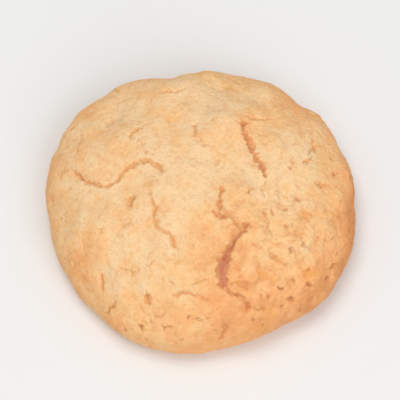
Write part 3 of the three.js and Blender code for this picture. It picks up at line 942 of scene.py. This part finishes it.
edge_place = crust_finish.warp(place, size=1.6, reach=0.9)
edge_place = crust_finish.warp(edge_place, size=0.45, reach=0.22)
edge = crust_finish.node(
    "ShaderNodeTexVoronoi",
    {"feature": "DISTANCE_TO_EDGE"},
    {"Vector": edge_place, "Scale": 1 / (HAIR_CELL * MM)},
    "Distance",
)
hair_shows = crust_finish.rise(crust_finish.cloud(place, 2.2), 0.54, 0.66)
hair = (1 - crust_finish.rise(edge, 0.0, HAIR_WIDTH)) * hair_shows * (1 - crust_finish.attribute("base"))
colour = crust_finish.mix(hair * 0.5, colour, LIP)
print("hairlines are drawn about", HAIR_CELL, "mm apart")

# %% [markdown]
# Last come the cracks and pits that the mesh holds. They turn from orange at the lip to red-brown inside,
# where the crumb dried slowly.

# %% The colour of cracks and pits
colour = crust_finish.mix(crust_finish.attribute("pit") * 0.7, colour, PIT)
crack = crust_finish.attribute("crack") + 0.4 * (crust_finish.cloud(place, 0.6, detail=3.0) - 0.5)
colour = crust_finish.mix(crust_finish.rise(crack, 0.08, 0.45) * 0.9, colour, LIP)
colour = crust_finish.mix(crust_finish.rise(crack, 0.4, 0.9), colour, DEEP)
print("the crust's colour takes", len(crust_finish.nodes), "nodes")

# %% [markdown]
# Dry crust is matte: it scatters light and hardly shines, and a little light passes through its surface,
# which softens the edges of crumbs. That is a high roughness, a low specular level and a little subsurface
# light. Grains finer than the mesh can hold, a few tenths of a millimetre, come from a Bump node, which
# tilts the light's way without moving any point.

# %% The crust's surface
BUMP_HEIGHT = 0.16

roughness = 0.78 + 0.2 * crust_finish.cloud(place, 1.2)
grain_height = 0.55 * meal_height + 0.3 * sand_height + 0.5 * crust_finish.cloud(place, 0.4, detail=3.0)
bump = crust_finish.node(
    "ShaderNodeBump", {}, {"Strength": 1.0, "Distance": BUMP_HEIGHT * MM, "Height": grain_height - 0.3 * hair}
)
crust_finish.plug(
    crust_finish.surface,
    {
        "Base Color": colour,
        "Roughness": roughness,
        "Normal": bump,
        "Specular IOR Level": 0.22,
        "Subsurface Weight": 0.1,
        "Subsurface Radius": (1.0, 0.55, 0.3),
        "Subsurface Scale": 0.9 * MM,
    },
)
mesh.materials.append(crust_finish.material)
print("the crust's material has", len(crust_finish.nodes), "nodes")

# %% [markdown]
# The cookie stands on a plain pale floor, which isn't part of it. A plane would do from above, but from a
# low view its far edge would show. A photographer hangs paper so that it curves up behind the thing, and
# this floor curves up all round, like a wide dish, because the cookie is looked at from every side.

# %% The floor
FLOOR_MIDDLE = 0.01  # in metres, the radius of the disc in the middle of the floor
FLOOR_REACH = 1.2  # how far the floor is level
SWEEP = 0.6  # the radius of the curve at its edge
FLOOR_SIDES = 96
SWEEP_RINGS = 24

floor_rings = [(FLOOR_MIDDLE, 0)] + [
    (FLOOR_REACH + SWEEP * math.sin(bend), SWEEP * (1 - math.cos(bend)))
    for bend in np.linspace(0, math.pi / 2, SWEEP_RINGS)
]
floor_points = [
    (reach * math.cos(turn), reach * math.sin(turn), rise)
    for reach, rise in floor_rings
    for turn in ring_headings(FLOOR_SIDES)
]
floor_faces = [tuple(range(FLOOR_SIDES))]
for ring in range(len(floor_rings) - 1):
    for here in range(FLOOR_SIDES):
        there = (here + 1) % FLOOR_SIDES
        inner, outer = ring * FLOOR_SIDES, (ring + 1) * FLOOR_SIDES
        floor_faces.append((inner + here, outer + here, outer + there, inner + there))
floor_mesh = bpy.data.meshes.new("pale_floor")
floor_mesh.from_pydata(floor_points, [], floor_faces)
floor_mesh.shade_smooth()
floor = bpy.data.objects.new("pale_floor", floor_mesh)
bpy.context.scene.collection.objects.link(floor)
floor_finish = Finish("pale_paper")
floor_place = floor_finish.node("ShaderNodeTexCoord", {}, {}, "Object")
floor_tone = floor_finish.mix(floor_finish.cloud(floor_place, 60), paint(236, 236, 235), paint(240, 240, 239))
floor_finish.plug(floor_finish.surface, {"Base Color": floor_tone, "Roughness": 0.9})
floor_mesh.materials.append(floor_finish.material)
print("the level floor is", 2 * FLOOR_REACH, "m across")

# %% [markdown]
# The photograph's light is a bright, soft studio: a large lamp above, a little to the left, a pale wall in
# front on the right, and others all round that fill the shadows. An area light that is large for its
# distance gives soft-edged shadows, and the world's even glow stands for the walls all round. Colours are
# shown as they are mixed, with the Standard view, because the usual film-like one would grey the warm crust.

# %% Light
GLOW = 0.5  # the strength of the world's even light


def soft_lamp(name, place, size, power):
    """A square area light that looks at the cookie."""
    lamp = bpy.data.lights.new(name, "AREA")
    lamp.size = size
    lamp.energy = power
    holder = bpy.data.objects.new(name, lamp)
    holder.location = place
    holder.rotation_euler = (-Vector(place)).to_track_quat("-Z", "Y").to_euler()
    bpy.context.scene.collection.objects.link(holder)
    print(name, "shines from", place)


soft_lamp("window_light", place=(-0.09, 0.05, 0.52), size=0.25, power=0.92)
soft_lamp("wall_bounce", place=(0.18, -0.39, 0.415), size=0.5, power=1.43)
world = bpy.data.worlds.new("studio")
world.use_nodes = True
background = world.node_tree.nodes["Background"].inputs
background["Color"].default_value = (1, 1, 1, 1)
background["Strength"].default_value = GLOW
bpy.context.scene.world = world
bpy.context.scene.view_settings.view_transform = "Standard"

# %% [markdown]
# The photograph looks down on this cookie steeply, at about 65 degrees above its base. A long lens from
# further off keeps the shape true, as in a product picture. The camera looks at the middle of the cookie.

# %% Camera
ELEVATION = math.radians(65)
LENS = 200
FILL = 0.78  # the share of the frame's width that the cookie takes

camera_data = bpy.data.cameras.new("camera")
camera_data.lens = LENS
width = high.x - low.x
distance = width / FILL * LENS / camera_data.sensor_width
aim = Vector((0, 0, (low.z + high.z) / 2))
camera = bpy.data.objects.new("camera", camera_data)
camera.location = aim + distance * Vector((0, -math.cos(ELEVATION), math.sin(ELEVATION)))
camera.rotation_euler = (aim - camera.location).to_track_quat("-Z", "Y").to_euler()
bpy.context.scene.collection.objects.link(camera)
bpy.context.scene.camera = camera
print("the camera is", round(distance, 3), "m from the cookie")
